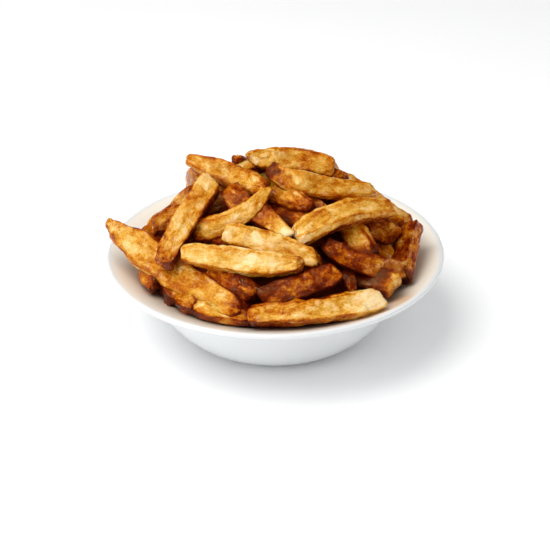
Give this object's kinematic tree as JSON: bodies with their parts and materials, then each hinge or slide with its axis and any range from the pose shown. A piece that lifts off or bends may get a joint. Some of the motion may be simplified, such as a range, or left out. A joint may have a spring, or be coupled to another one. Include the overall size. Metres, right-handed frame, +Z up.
{
  "type": "bowl of french fries",
  "caption": "Heaped portion of hand-cut french fries in a round white side bowl with a sloping flange and a foot ring.",
  "frame": {"origin": "middle of the bowl's foot, on the surface that it stands on", "axes": "+Z up, -Y towards the front of the portion, +X to the right seen from the front"},
  "size_m": [0.1657, 0.165, 0.092],
  "materials": {
    "white_glaze": "smooth warm white glaze over a turned stoneware body, glossy with soft highlights",
    "fried_potato": "wrinkled fried potato skin from pale gold to red-brown, with a thin film of oil"
  },
  "bodies": {
    "root": {"bowl": "white_glaze", "fries": "fried_potato"}
  },
  "joints": []
}
